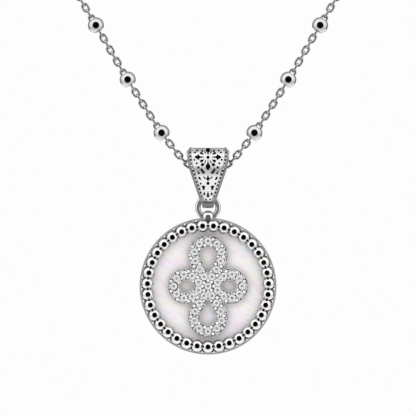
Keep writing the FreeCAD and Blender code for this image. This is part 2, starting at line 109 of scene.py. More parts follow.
def studio_light():
    """The tent: black in the front opening, white round it, and greyer behind and below."""
    world = bpy.data.worlds.new("tent")
    world.use_nodes = True
    tree = world.node_tree
    tree.nodes.clear()
    direction = wire(tree, "ShaderNodeTexCoord").outputs["Generated"]
    parts = wire(tree, "ShaderNodeSeparateXYZ", {0: direction})
    # 0 straight ahead at the lens, 1 straight behind, in even steps of angle
    ahead = wire(tree, "ShaderNodeMath", {0: parts.outputs["Y"], 1: -1.0}, operation="MULTIPLY")
    angle = wire(tree, "ShaderNodeMath", {0: ahead.outputs[0]}, operation="ARCCOSINE")
    turn = wire(tree, "ShaderNodeMath", {0: angle.outputs[0], 1: math.pi}, operation="DIVIDE")
    tent = ramp(tree, turn.outputs[0], [
        (0.0, 0.0), (0.27, 0.002), (0.29, 0.95), (0.34, 1.0), (0.48, 1.0), (0.58, 0.72), (0.66, 0.34),
        (0.76, (0.2, 0.185, 0.18)), (1.0, (0.16, 0.15, 0.145)),
    ])
    # what the stones' back facets catch: rings of light and dark
    inside = ramp(tree, turn.outputs[0], [
        (0.0, 0.02), (0.06, 0.04), (0.075, 1.0), (0.16, 1.0), (0.18, 0.15), (0.24, 0.12), (0.27, 1.0), (0.5, 1.0),
        (0.6, 0.4),
    ])
    height = wire(tree, "ShaderNodeMapRange", {"Value": parts.outputs["Z"], "From Min": -1.0, "From Max": 1.0})
    shade = ramp(tree, height.outputs[0], [(0.0, 0.52), (0.38, 0.72), (0.55, 1.0), (1.0, 1.0)])
    path = wire(tree, "ShaderNodeLightPath")
    even = wire(tree, "ShaderNodeBackground", {"Color": (1, 1, 1, 1), "Strength": EVEN_WHITE})
    sparkle = wire(tree, "ShaderNodeBackground", {"Color": inside, "Strength": SPARKLE_WHITE})
    studio = wire(tree, "ShaderNodeBackground", {"Color": multiply(tree, tent, shade), "Strength": TENT_WHITE})
    paper = wire(tree, "ShaderNodeBackground", {"Color": (1, 1, 1, 1), "Strength": PAPER_WHITE})
    lit = wire(tree, "ShaderNodeMixShader", {
        0: path.outputs["Is Glossy Ray"], 1: even.outputs[0], 2: studio.outputs[0],
    })
    through = wire(tree, "ShaderNodeMixShader", {
        0: path.outputs["Is Transmission Ray"], 1: lit.outputs[0], 2: sparkle.outputs[0],
    })
    seen = wire(tree, "ShaderNodeMixShader", {
        0: path.outputs["Is Camera Ray"], 1: through.outputs[0], 2: paper.outputs[0],
    })
    wire(tree, "ShaderNodeOutputWorld", {"Surface": seen.outputs[0]})
    return world


bpy.context.scene.world = studio_light()


def new_material(name):
    """An empty procedural material, its tree, and object coordinates in millimetres."""
    material = bpy.data.materials.new(name)
    material.use_nodes = True
    tree = material.node_tree
    tree.nodes.clear()
    place = wire(tree, "ShaderNodeTexCoord").outputs["Object"]
    scaled = wire(tree, "ShaderNodeVectorMath", {0: place, "Scale": 1 / MM}, operation="SCALE")
    return material, tree, scaled.outputs[0]


def finish_surface(tree, links, **constants):
    """The shader of a surface: constants go on its own sockets, and only what varies is linked."""
    shader = wire(tree, "ShaderNodeBsdfPrincipled", links)
    for key, value in constants.items():
        shader.inputs["IOR" if key == "ior" else key.replace("_", " ").title()].default_value = value
    wire(tree, "ShaderNodeOutputMaterial", {"Surface": shader.outputs[0]})


def paper_floor():
    """Matt pale paper with a faint fibre."""
    material, tree, place = new_material("pale_paper")
    fibre = wire(tree, "ShaderNodeTexNoise", {"Vector": place, "Scale": 1.5, "Detail": 6.0})
    tone = ramp(tree, fibre.outputs["Fac"], [(0.35, (0.84, 0.84, 0.83)), (0.65, (0.88, 0.88, 0.875))])
    finish_surface(tree, {"Base Color": tone}, roughness=0.9)
    return material


floor_mesh = bpy.data.meshes.new("floor")
sheet = bmesh.new()
bmesh.ops.create_circle(sheet, cap_ends=True, radius=FLOOR_RADIUS, segments=96)
sheet.to_mesh(floor_mesh)
sheet.free()
floor = bpy.data.objects.new("floor", floor_mesh)
floor.location = (0, 30 * MM, -FLOOR_DROP)
floor.data.materials.append(paper_floor())
bpy.context.scene.collection.objects.link(floor)


# Chain. A fine cable chain of oval wire links in white rhodium over silver, each link turned a quarter from the
# last. It runs through the bail and up both sides of the neck, in lengths of eight links between the beads.

LINK_WIRE = 0.34 * MM
LINK_LONG = 1.64 * MM
LINK_WIDE = 1.14 * MM
LINK_PITCH = 1.0 * MM
LINKS_BETWEEN = 8
BEAD_REACH = 1.5 * MM
FIRST_AFTER_BEAD = 1.27 * MM
PITCH_BETWEEN = 0.993 * MM
BEFORE_CLASP = 1.2 * MM
INTO_CLASP = 0.25 * MM
CLASP_EYE = 0.35 * MM
# the chain's line in the bail: how far it sags below the fold's axis, half of its flat, then a bend up to a slope
SAG = 1.16 * MM
FLAT_HALF = 0.26 * MM
BEND = 4.8 * MM
SLOPE = math.radians(52)
bail_axis = Vector((0, -112 * MM, -115 * MM))


def silver(name, tone, roughness, matt, painted_recess_shade=0.0, painted_shade_pattern=None):
    """Rhodium-white silver: faint wear in the gloss, soft edges, a share of matt white, and painted shade in the
    crevices.
    """
    material, tree, place = new_material(name)
    cloud = wire(tree, "ShaderNodeTexNoise", {"Vector": place, "Scale": 0.8, "Detail": 4.0})
    colour = ramp(tree, cloud.outputs["Fac"], [(0.3, tuple(c * 0.96 for c in tone)), (0.7, tone)])
    # a painted shade pattern, when given, darkens the colour
    if painted_shade_pattern:
        colour = multiply(tree, colour, painted_shade_pattern(tree, place))
    # painted shade: the colour darkens where ambient occlusion finds a recess
    if painted_recess_shade:
        recess = wire(tree, "ShaderNodeAmbientOcclusion", {"Distance": 0.45 * MM}, samples=8)
        dark = ramp(tree, recess.outputs["AO"], [(0.18, 1.0 - painted_recess_shade), (0.72, 1.0)])
        colour = multiply(tree, colour, dark)
    wear = wire(tree, "ShaderNodeTexNoise", {"Vector": place, "Scale": 9.0, "Detail": 5.0, "Roughness": 0.6})
    gloss = wire(tree, "ShaderNodeMapRange", {
        "Value": wear.outputs["Fac"], "From Min": 0.3, "From Max": 0.7,
        "To Min": roughness * 0.85, "To Max": roughness * 1.15,
    })
    soft_edge = wire(tree, "ShaderNodeBevel", {"Radius": 0.04 * MM}, samples=4)
    grain = wire(tree, "ShaderNodeTexNoise", {"Vector": place, "Scale": 26.0, "Detail": 3.0})
    normal = wire(tree, "ShaderNodeBump", {
        "Height": grain.outputs["Fac"], "Normal": soft_edge.outputs[0], "Strength": 0.04, "Distance": 0.01 * MM,
    })
    finish_surface(
        tree, {"Base Color": colour, "Roughness": gloss.outputs[0], "Normal": normal.outputs[0]}, metallic=1.0 - matt,
    )
    return material


link_silver = silver("link_silver", (0.66, 0.64, 0.63), 0.2, 0.05, painted_recess_shade=0.75)


def add_piece(name, mesh_data, body, materials, replaced=()):
    """Puts a finished bmesh in the scene as one piece on its body."""
    mesh = bpy.data.meshes.new(name)
    mesh_data.to_mesh(mesh)
    mesh_data.free()
    for material in materials:
        mesh.materials.append(material)
    piece = bpy.data.objects.new(name, mesh)
    bpy.context.scene.collection.objects.link(piece)
    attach(piece, body)
    if replaced:
        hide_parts(*replaced)


def sweep(mesh_data, path, frames, section, closed=True, material_index=0):
    """Skins a section, given as pairs across and up, along a path of points with their two side directions."""
    rings = []
    for point, (across, up) in zip(path, frames):
        rings.append([mesh_data.verts.new(point + across * a + up * b) for a, b in section])
    pairs = list(zip(rings, rings[1:]))
    if closed:
        pairs.append((rings[-1], rings[0]))
    for ring, after in pairs:
        for n in range(len(section)):
            m = (n + 1) % len(section)
            face = mesh_data.faces.new((ring[n], ring[m], after[m], after[n]))
            face.smooth = True
            face.material_index = material_index
    if not closed:
        for ring in (rings[0], rings[-1]):
            mesh_data.faces.new(ring).material_index = material_index


def round_section(radius, count):
    turns = [2 * math.pi * n / count for n in range(count)]
    return [(radius * math.cos(turn), radius * math.sin(turn)) for turn in turns]


def add_link(mesh_data, centre, along, flat, steps=10, sides=8):
    """One oval link of round wire, lying in the plane whose normal is flat."""
    beside = flat.cross(along).normalized()
    bend = (LINK_WIDE - LINK_WIRE) / 2
    straight = (LINK_LONG - LINK_WIRE) / 2 - bend
    path, frames = [], []
    for end in (1, -1):
        for n in range(steps + 1):
            turn = math.pi * (n / steps - 0.5)
            outward = (along * math.cos(turn) + beside * math.sin(turn)) * end
            path.append(centre + along * (straight * end) + outward * bend)
            frames.append((outward, flat))
    sweep(mesh_data, path, frames, round_section(LINK_WIRE / 2, sides))


def bead_places():
    """Centres of the station beads on the right, from the bail up, read from the CAD node."""
    found = []
    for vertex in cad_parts["station_beads"].data.vertices:
        for row in found:
            if (row[0] - vertex.co).length < 2 * BEAD_REACH:
                row.append(vertex.co)
                break
        else:
            found.append([vertex.co])
    middles = []
    for row in found:
        low = Vector([min(co[axis] for co in row) for axis in range(3)])
        high = Vector([max(co[axis] for co in row) for axis in range(3)])
        middles.append((low + high) / 2)
    right = [place for place in middles if place.x > 0]
    return sorted(right, key=lambda place: place.z + (place - bail_axis).length * 0.001)


def route_right(beads, clasp_end):
    """Close points along the chain's line, from the middle of the bail through the beads to the clasp's right eye."""
    points = [bail_axis + Vector((0, 0, -SAG))]
    for n in range(13):
        turn = SLOPE * n / 12
        across = Vector((FLAT_HALF + BEND * math.sin(turn), 0, -SAG + BEND * (1 - math.cos(turn))))
        points.append(bail_axis + across)
    lead = Vector((math.cos(SLOPE), 0, math.sin(SLOPE)))
    knots = [points[-1]] + beads + [clasp_end]
    tangents = [lead]
    for before, after in zip(knots, knots[2:]):
        tangents.append((after - before).normalized())
    tangents.append((knots[-1] - knots[-2]).normalized())
    for start, end, lead_out, lead_in in zip(knots, knots[1:], tangents, tangents[1:]):
        reach = (end - start).length
        for n in range(1, 25):
            t = n / 24
            a = 2 * t ** 3 - 3 * t ** 2 + 1
            b = t ** 3 - 2 * t ** 2 + t
            c = 3 * t ** 2 - 2 * t ** 3
            d = t ** 3 - t ** 2
            points.append(start * a + lead_out * (b * reach) + end * c + lead_in * (d * reach))
    return points


class Route:
    """A line of close points with the distance along it, its direction, and a side direction that doesn't twist."""

    def __init__(self, points):
        self.points, self.marks, self.sides = points, [0.0], []
        for a, b in zip(points, points[1:]):
            self.marks.append(self.marks[-1] + (b - a).length)
        side = Vector((0, -1, 0))
        for n in range(len(points)):
            along = self.heading(n)
            side = (side - along * side.dot(along)).normalized()
            self.sides.append(side)

    def heading(self, n):
        low, high = max(0, n - 1), min(len(self.points) - 1, n + 1)
        return (self.points[high] - self.points[low]).normalized()

    def at(self, distance):
        n = 0
        while n < len(self.marks) - 2 and self.marks[n + 1] < distance:
            n += 1
        share = (distance - self.marks[n]) / (self.marks[n + 1] - self.marks[n])
        point = self.points[n].lerp(self.points[n + 1], share)
        along = self.heading(n).lerp(self.heading(n + 1), share).normalized()
        side = self.sides[n].lerp(self.sides[n + 1], share)
        return point, along, (side - along * side.dot(along)).normalized()

    def nearest(self, place):
        return self.marks[min(range(len(self.points)), key=lambda n: (self.points[n] - place).length)]


clasp_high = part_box("clasp")[1]
beads_right = bead_places()
route = Route(route_right(beads_right, Vector((clasp_high.x - CLASP_EYE, 0, 0))))
bead_marks = [route.nearest(place) for place in beads_right]


def link_marks():
    """How far along the right half each link's middle lies, and whether it is face on."""
    marks = []
    under = round(2 * bead_marks[0] / LINK_PITCH)
    under -= under % 2
    for n in range(under // 2, under):
        marks.append((2 * bead_marks[0] * (n / under - 0.5), n % 2 == 0))
    for bead_mark in bead_marks[1:]:
        for n in range(LINKS_BETWEEN):
            marks.append((bead_mark - FIRST_AFTER_BEAD - n * PITCH_BETWEEN, n % 2 == 1))
    rest = route.marks[-1] - bead_marks[-1] - BEFORE_CLASP
    count = max(1, round(rest / LINK_PITCH))
    for n in range(count + 1):
        marks.append((route.marks[-1] - INTO_CLASP - n * rest / count, n % 2 == 1))
    return marks


mirror = Matrix.Scale(-1, 3, Vector((1, 0, 0)))
links = bmesh.new()
for mark, face_on in link_marks():
    point, along, side = route.at(mark)
    flat = side if face_on else along.cross(side)
    add_link(links, point, along, flat)
    if mark > LINK_PITCH / 10:  # the middle link has no twin on the left
        add_link(links, mirror @ point, mirror @ along, mirror @ flat)
bmesh.ops.recalc_face_normals(links, faces=links.faces)
add_piece("chain_links", links, "necklace", [link_silver], ["chain"])


# Station beads. Hollow balls of bright silver drilled through and soldered onto the chain, with a softly rounded
# lip where the links go in and a plug of solder at the middle.

BEAD_RADIUS = 1.175 * MM
BEAD_MOUTH = 0.62 * MM
BEAD_LIP = 0.09 * MM
LIP_ROUND = 0.03 * MM
LIP_DEPTH = 0.1 * MM
SOLDER_EDGE = 0.25 * MM
SOLDER_HALF = 0.2 * MM


def lathe(mesh_data, origin, axis, profile, steps, closed=False, material_index=0):
    """Turns a profile, given as pairs along and out from the axis, about an axis through the origin."""
    axis = axis.normalized()
    side = axis.orthogonal().normalized()
    up = axis.cross(side)
    columns = []
    for n in range(steps):
        turn = 2 * math.pi * n / steps
        outward = side * math.cos(turn) + up * math.sin(turn)
        columns.append([
            mesh_data.verts.new(origin + axis * along + outward * out) if out > 0 else None for along, out in profile
        ])
    poles = {k: mesh_data.verts.new(origin + axis * along) for k, (along, out) in enumerate(profile) if out <= 0}
    spans = list(zip(range(len(profile)), range(1, len(profile))))
    if closed:
        spans.append((len(profile) - 1, 0))
    for n in range(steps):
        here, after = columns[n], columns[(n + 1) % steps]
        for k, m in spans:
            corners = [here[k] or poles[k], here[m] or poles[m], after[m] or poles[m], after[k] or poles[k]]
            corners = [v for i, v in enumerate(corners) if v is not corners[i - 1]]
            face = mesh_data.faces.new(corners)
            face.smooth = True
            face.material_index = material_index


def ball_profile(radius, count):
    """Half a circle from pole to pole."""
    turns = [math.pi * n / count for n in range(1, count)]
    around = [(-radius * math.cos(turn), radius * math.sin(turn)) for turn in turns]
    return [(-radius, 0.0)] + around + [(radius, 0.0)]


def bead_profile():
    """Half of a drilled ball's section: over the outside, round the lip, down the bore to the solder."""
    start = math.asin((BEAD_MOUTH + BEAD_LIP) / BEAD_RADIUS)
    turns = [start + (math.pi - 2 * start) * n / 28 for n in range(29)]
    outside = [(-BEAD_RADIUS * math.cos(turn), BEAD_RADIUS * math.sin(turn)) for turn in turns]
    end = outside[-1][0]
    lip = [
        (end - LIP_ROUND, BEAD_MOUTH + LIP_ROUND), (end - LIP_DEPTH, BEAD_MOUTH), (SOLDER_EDGE, BEAD_MOUTH),
        (SOLDER_HALF, 0.0),
    ]
    left = [(-along, out) for along, out in reversed(lip)]
    return left + outside + lip


bead_silver = silver("bead_silver", (0.76, 0.745, 0.74), 0.05, 0.0, painted_recess_shade=0.5)
beads = bmesh.new()
for mark in bead_marks:
    point, along = route.at(mark)[:2]
    lathe(beads, point, along, bead_profile(), 40)
    lathe(beads, mirror @ point, mirror @ along, bead_profile(), 40)
bmesh.ops.recalc_face_normals(beads, faces=beads.faces)
add_piece("round_beads", beads, "necklace", [bead_silver], ["station_beads"])


# Clasp. A plain oval of thick silver wire with a soldered eye at each end, hidden behind the neck. The CAD piece
# keeps its shape and takes a bright polish.

def dress(node_name, material):
    """Gives a CAD piece that stays its material and slot."""
    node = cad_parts[node_name]
    node.data.materials.clear()
    node.data.materials.append(material)


dress("clasp", silver("polished_silver", (0.93, 0.925, 0.92), 0.045, 0.0))


# Bail. A tapered strap of silver, pierced with a flower and leaves, folded over the chain and closed at its foot,
# which swells into a knob. The face is satin with painted shade over the fold, along the borders and below the
# flower; the inside and the cut walls are painted near-black as shade, and each border has a round wire and a line
# of fine beads.

BAIL_TOP_RADIUS = 2.05 * MM
BAIL_FOOT_RADIUS = 1.05 * MM
BAIL_FOOT_DROP = 5.74 * MM
BAIL_LEAN = math.asin((BAIL_TOP_RADIUS - BAIL_FOOT_RADIUS) / BAIL_FOOT_DROP)
# half widths and heights above the fold's axis, in millimetres
BAIL_SIDE = ((3.13, 1.45), (2.93, -0.2), (2.68, -1.25), (1.19, -5.6), (0.74, -6.1))
BAIL_TOP_TAPER = 0.9
FACE_DEPTH = 0.12 * MM
SIDE_DEPTH = 0.06 * MM
CRISP_EDGE = 24
EDGE_WIRE = 0.13 * MM
EDGE_WIRE_IN = 0.9
EDGE_WIRE_SINK = 0.35
EDGE_WIRE_END = -5.9 * MM
BORDER_BEADS = 12
BORDER_BEAD = 0.12 * MM
# heights above the fold's axis, a drop below it, and widths, in millimetres
BLACK_BOTTOM = -6.2
KNOB_TOP = -5.75
FOOT_DROP = 5.85
FOOT_HEIGHT = 1.1
FOOT_SWELL = 0.2
BORDER_TOP = 1.3
BORDER_BOTTOM = -5.05
BORDER_INSET = 0.47
# the heights and the width, in millimetres, over which the face's painted shade is laid out
FACE_SHADE_LOW, FACE_SHADE_HIGH = -122.0, -112.0
FACE_SHADE_WIDTH = 4.0


def painted_face_shade(tree, place):
    """Painted shade: greyer silver over the fold, along the beaded borders and in a soft patch below the flower."""
    parts = wire(tree, "ShaderNodeSeparateXYZ", {0: place})
    height = wire(tree, "ShaderNodeMapRange", {
        "Value": parts.outputs["Z"], "From Min": FACE_SHADE_LOW, "From Max": FACE_SHADE_HIGH,
    })
    across = wire(tree, "ShaderNodeMath", {0: parts.outputs["X"]}, operation="ABSOLUTE")
    # the strap's half width over the same span of height, as a share of FACE_SHADE_WIDTH
    rise = bail_axis.z / MM - FACE_SHADE_LOW
    half = ramp(tree, height.outputs[0], [
        ((rise + above) / (FACE_SHADE_HIGH - FACE_SHADE_LOW), wide / FACE_SHADE_WIDTH) for wide, above in reversed(BAIL_SIDE)
    ])
    width = wire(tree, "ShaderNodeMath", {0: half, 1: FACE_SHADE_WIDTH}, operation="MULTIPLY")
    inset = wire(tree, "ShaderNodeMath", {0: width.outputs[0], 1: across.outputs[0]}, operation="SUBTRACT")
    border = ramp(tree, inset.outputs[0], [(0.0, 0.6), (0.2, 0.36), (0.62, 0.4), (0.74, 1.0)])
    fold = ramp(tree, height.outputs[0], [
        (0.48, 1.0), (0.53, 0.55), (0.6, 0.4), (0.65, 1.0), (0.8, 1.0), (0.845, 0.42), (0.905, 0.32),
    ])
    shade_breakup = wire(tree, "ShaderNodeTexNoise", {"Vector": place, "Scale": 0.9, "Detail": 3.0})
    fade = ramp(tree, shade_breakup.outputs["Fac"], [(0.4, 0.0), (0.6, 0.3)])
    soft = wire(tree, "ShaderNodeMix", {"Factor": fade, "A": fold, "B": (1, 1, 1, 1)}, data_type="RGBA")
    return multiply(tree, soft.outputs["Result"], border)


bail_silver = silver("bail_silver", (0.95, 0.945, 0.94), 0.3, 0.82, painted_recess_shade=0.6, painted_shade_pattern=painted_face_shade)
border_silver = silver("border_silver", (0.9, 0.895, 0.89), 0.2, 0.6, painted_recess_shade=0.4)
foot_silver = silver("foot_silver", (0.36, 0.345, 0.34), 0.3, 0.3, painted_recess_shade=0.6)
edge_silver = silver("edge_silver", (0.45, 0.435, 0.43), 0.22, 0.25, painted_recess_shade=0.3)


def painted_shade_black():
    """Near-black silver, dull and slightly uneven: painted shade for the bail's inside and cut walls."""
    material, tree, place = new_material("painted_shade_black")
    cloud = wire(tree, "ShaderNodeTexNoise", {"Vector": place, "Scale": 3.0, "Detail": 4.0})
    tone = ramp(tree, cloud.outputs["Fac"], [(0.3, (0.006, 0.006, 0.006)), (0.7, (0.016, 0.015, 0.014))])
    finish_surface(tree, {"Base Color": tone}, roughness=0.7, metallic=0.3)
    return material


bail_inside_shade = painted_shade_black()


def crease(mesh_data, degrees=CRISP_EDGE):
    """Smooth faces, with the edges sharper than this left crisp."""
    for face in mesh_data.faces:
        face.smooth = True
    for edge in mesh_data.edges:
        edge.smooth = len(edge.link_faces) == 2 and edge.calc_face_angle(0) < math.radians(degrees)


def copy_node(node_name):
    """A welded, smooth copy of a CAD node's mesh, ready for finer work."""
    copy = bmesh.new()
    copy.from_mesh(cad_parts[node_name].data)
    bmesh.ops.remove_doubles(copy, verts=copy.verts, dist=0.0005 * MM)
    for face in copy.faces:
        face.material_index = 0
    crease(copy)
    return copy


def bail_half_width(above):
    """The strap's half width at a height, both in millimetres."""
    for (high_x, high_z), (low_x, low_z) in zip(BAIL_SIDE, BAIL_SIDE[1:]):
        if above >= low_z:
            break
    share = (above - low_z) / (high_z - low_z)
    return low_x + share * (high_x - low_x)


def bail_depth(point):
    """How deep a point lies under the folded strap's outer surface."""
    y, z = point.y - bail_axis.y, point.z - bail_axis.z
    along = -z * math.cos(BAIL_LEAN) - abs(y) * math.sin(BAIL_LEAN)
    if along < 0:
        return BAIL_TOP_RADIUS - math.hypot(y, z)
    if along > BAIL_FOOT_DROP * math.cos(BAIL_LEAN):
        return BAIL_FOOT_RADIUS - math.hypot(y, z + BAIL_FOOT_DROP)
    return BAIL_TOP_RADIUS - (abs(y) * math.cos(BAIL_LEAN) - z * math.sin(BAIL_LEAN))


def bail_front_face(above):
    """How far in front of the bail's axis its face lies at a height."""
    if above > -BAIL_TOP_RADIUS * math.sin(BAIL_LEAN):
        return -math.sqrt(BAIL_TOP_RADIUS ** 2 - above ** 2)
    return -(BAIL_TOP_RADIUS + above * math.sin(BAIL_LEAN)) / math.cos(BAIL_LEAN)


to_front = Vector((0, -1, 0))
strap = copy_node("bail")
for vertex in strap.verts:
    # the foot swells into a rounded knob
    low = (bail_axis.z - vertex.co.z) / MM - FOOT_DROP
    if low > 0:
        vertex.co.x *= 1 + FOOT_SWELL * math.sin(math.pi * min(1.0, low / FOOT_HEIGHT) ** 0.8)
for face in strap.faces:
    middle = face.calc_center_median()
    above = (middle.z - bail_axis.z) / MM
    inset = bail_half_width(above) * MM - abs(middle.x)
    # faces deep under the face or the sides, above the knob, take the near-black painted shade
    if bail_depth(middle) > FACE_DEPTH and inset > SIDE_DEPTH and above > BLACK_BOTTOM:
        face.material_index = 1
    elif above < KNOB_TOP:
        face.material_index = 2


def fold_line(inset, lift, steps=10):
    """Points on one edge of the strap, from the front of the foot over the top to the back of the foot."""
    rows = []
    for n in range(steps + 1):
        turn = math.pi / 2 + BAIL_LEAN - (math.pi / 2 + BAIL_LEAN) * n / steps
        rows.append(((BAIL_TOP_RADIUS + lift) * math.sin(turn), (BAIL_TOP_RADIUS + lift) * math.cos(turn)))
    out, up = rows[0]
    for n in range(1, 13):
        z = up + (EDGE_WIRE_END - up) * n / 12
        rows.insert(0, (out + (up - z) * -math.tan(BAIL_LEAN), z))
    front = [(-out, up) for out, up in rows]
    back = [(out, up) for out, up in reversed(rows[:-1])]
    points = []
    top_half, top_height = BAIL_SIDE[0]
    for y, z in front + back:
        taper = top_half - max(0, z / MM - top_height) * BAIL_TOP_TAPER
        x = min(bail_half_width(z / MM), taper) * MM - inset
        points.append(bail_axis + Vector((x, y, z)))
    return points


def add_round_wire(mesh_data, points, radius, sides, material_index):
    """A round wire along open points, closed at both ends."""
    frames = []
    for n in range(len(points)):
        along = (points[min(n + 1, len(points) - 1)] - points[max(n - 1, 0)]).normalized()
        across = Vector((1, 0, 0)) - along * along.x
        across.normalize()
        frames.append((across, along.cross(across)))
    sweep(mesh_data, points, frames, round_section(radius, sides), closed=False, material_index=material_index)


for side in (-1, 1):
    edge_line = fold_line(EDGE_WIRE * EDGE_WIRE_IN, -EDGE_WIRE * EDGE_WIRE_SINK)
    edge_line = [Vector((side * place.x, place.y, place.z)) for place in edge_line]
    add_round_wire(strap, edge_line, EDGE_WIRE, 10, 3)
    for n in range(BORDER_BEADS):
        above = (BORDER_TOP + (BORDER_BOTTOM - BORDER_TOP) * (n + 0.5) / BORDER_BEADS) * MM
        y = bail_front_face(above)
        x = side * (bail_half_width(above / MM) - BORDER_INSET) * MM
        middle = bail_axis + Vector((x, y, above))
        lathe(strap, middle, to_front, ball_profile(BORDER_BEAD, 8), 12, material_index=4)
bmesh.ops.recalc_face_normals(strap, faces=strap.faces)
add_piece(
    "pierced_bail", strap, "hanging_bail",
    [bail_silver, bail_inside_shade, foot_silver, edge_silver, border_silver], ["bail"],
)


# Jump ring. Round silver wire bent into a ring, closed with solder and polished. It joins the bail's foot to the
# pendant's eyelet, and is loose in both.

ring_silver = silver("ring_silver", (0.8, 0.785, 0.78), 0.1, 0.2, painted_recess_shade=0.4)
ring_low, ring_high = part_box("jump_ring")
ring_wire = (ring_high.y - ring_low.y) / 2
ring_mean = (ring_high.x - ring_low.x) / 2 - ring_wire
ring = bmesh.new()
ring_profile = [(a, ring_mean + b) for a, b in round_section(ring_wire, 24)]
lathe(ring, (ring_low + ring_high) / 2, to_front, ring_profile, 96, closed=True)
bmesh.ops.recalc_face_normals(ring, faces=ring.faces)
add_piece("round_ring", ring, "linking_ring", [ring_silver], ["jump_ring"])


# Pendant frame. A round silver tray with a raised rim, thirty-five polished balls soldered in its channel so that
# they run into each other, a small bead in each gap to the rim, and a domed eyelet on top. All of it is one soldered
# piece, with the tray satin and the balls mirror bright.

TRAY_BACK = bail_axis.y + 1.04 * MM
# depths forward of the back and radii, in millimetres
TRAY = (
    (0.0, 0.0), (0.0, 9.82), (0.05, 9.95), (0.18, 10.0), (1.85, 10.0), (1.93, 9.97), (1.95, 9.9), (1.95, 9.74),
    (1.93, 9.67), (1.88, 9.64), (1.25, 9.64), (1.25, 8.36), (0.5, 8.36), (0.5, 0.0),
)
BALLS = 35
BALL_RADIUS = 0.9 * MM
BALL_RING = 8.84 * MM
BALL_DEPTH = 2.06 * MM
RIM_GRAIN = 0.15 * MM
RIM_GRAIN_RING = 9.62 * MM
CHANNEL_IN = 8.3 * MM
CHANNEL_OUT = 9.8 * MM
CHANNEL_FLOOR = 1.2 * MM
# depths in millimetres between which the balls' painted shade goes from grey to bright
BALL_SHADE_DEEP, BALL_SHADE_HIGH = -112.9, -113.6
EYELET_DROP = 8.16 * MM
EYELET_HALF = 0.68 * MM
# radii of the eyelet's dome and of its hole, each at the sides and in the middle
EYELET_OUTSIDE = (0.76 * MM, 1.05 * MM)
EYELET_HOLE = (0.7 * MM, 0.54 * MM)
SADDLE_RADIUS = 0.6 * MM
SADDLE_HALF = 1.4 * MM
disc_middle = bail_axis + Vector((0, 0, -18.18 * MM))

rim_silver = silver("rim_silver", (0.62, 0.6, 0.59), 0.25, 0.6, painted_recess_shade=0.2)


def painted_ball_shade(tree, place):
    """Painted shade: grey round the balls' widest part, low in the channel."""
    depth = wire(tree, "ShaderNodeSeparateXYZ", {0: place}).outputs["Y"]
    rise = wire(tree, "ShaderNodeMapRange", {"Value": depth, "From Min": BALL_SHADE_DEEP, "From Max": BALL_SHADE_HIGH})
    return ramp(tree, rise.outputs[0], [(0.0, 0.15), (0.55, 0.22), (0.66, 0.4), (0.8, 1.0)])


eyelet_silver = silver("eyelet_silver", (0.95, 0.945, 0.94), 0.08, 0.12, painted_recess_shade=0.3)
ball_silver = silver("ball_silver", (0.95, 0.945, 0.94), 0.03, 0.0, painted_recess_shade=0.5, painted_shade_pattern=painted_ball_shade)
channel_silver = silver("channel_silver", (0.97, 0.965, 0.96), 0.3, 0.95)


def disc_point(depth):
    """The middle of the disc at a depth forward of the tray's back."""
    return Vector((0, TRAY_BACK - depth, disc_middle.z))


def bow(half, end_height, peak_height, count):
    """Points along an arc from one side to the other, through a peak over the middle."""
    rise = end_height - peak_height
    middle = (end_height ** 2 - peak_height ** 2 + half ** 2) / (2 * rise)
    radius = math.hypot(half, end_height - middle)
    first = math.atan2(end_height - middle, -half)
    last = math.atan2(end_height - middle, half)
    turns = [first + (last - first) * n / count for n in range(count + 1)]
    return [(radius * math.cos(turn), middle + radius * math.sin(turn)) for turn in turns]


def cut_away(mesh_data, cutter):
    """Cuts one closed mesh out of another."""
    scraps = []
    for name, data in (("cut_body", mesh_data), ("cut_tool", cutter)):
        mesh = bpy.data.meshes.new(name)
        data.to_mesh(mesh)
        data.free()
        scrap = bpy.data.objects.new(name, mesh)
        bpy.context.scene.collection.objects.link(scrap)
        scraps.append(scrap)
    body, tool = scraps
    knife = body.modifiers.new("knife", "BOOLEAN")
    knife.operation, knife.object, knife.solver = "DIFFERENCE", tool, "EXACT"
    bpy.context.view_layer.update()
    result = bmesh.new()
    result.from_mesh(body.evaluated_get(bpy.context.evaluated_depsgraph_get()).to_mesh())
    for scrap in scraps:
        bpy.data.objects.remove(scrap)
    return result


eyelet_middle = bail_axis - Vector((0, 0, EYELET_DROP))
tray = bmesh.new()
lathe(tray, disc_point(0), to_front, [(depth * MM, out * MM) for depth, out in TRAY], 160)
bmesh.ops.recalc_face_normals(tray, faces=tray.faces)
notch = bmesh.new()
notch_profile = [
    (-SADDLE_HALF, 0.0), (-SADDLE_HALF, SADDLE_RADIUS), (SADDLE_HALF, SADDLE_RADIUS), (SADDLE_HALF, 0.0),
]
lathe(notch, eyelet_middle, Vector((1, 0, 0)), notch_profile, 40)
bmesh.ops.recalc_face_normals(notch, faces=notch.faces)
tray = cut_away(tray, notch)
crease(tray)
for face in tray.faces:
    middle = face.calc_center_median()
    out_from_middle = math.hypot(middle.x, middle.z - disc_middle.z)
    if CHANNEL_IN < out_from_middle < CHANNEL_OUT and middle.y < TRAY_BACK - CHANNEL_FLOOR:
        face.material_index = 2
for n in range(BALLS):
    turn = math.radians(-90 + 360 * n / BALLS)
    middle = disc_point(BALL_DEPTH) + Vector((math.cos(turn), 0, math.sin(turn))) * BALL_RING
    lathe(tray, middle, to_front, ball_profile(BALL_RADIUS, 20), 36, material_index=1)
    turn += math.pi / BALLS
    between = disc_point(BALL_DEPTH) + Vector((math.cos(turn), 0, math.sin(turn))) * RIM_GRAIN_RING
    # the notch below the eyelet is left open
    if (between - eyelet_middle).length > 2 * EYELET_HALF:
        lathe(tray, between, to_front, ball_profile(RIM_GRAIN, 8), 12, material_index=2)
ring_of_eyelet = bow(EYELET_HALF, *EYELET_OUTSIDE, 16) + bow(-EYELET_HALF, *EYELET_HOLE, 12)
lathe(tray, eyelet_middle, Vector((1, 0, 0)), ring_of_eyelet, 56, closed=True, material_index=3)
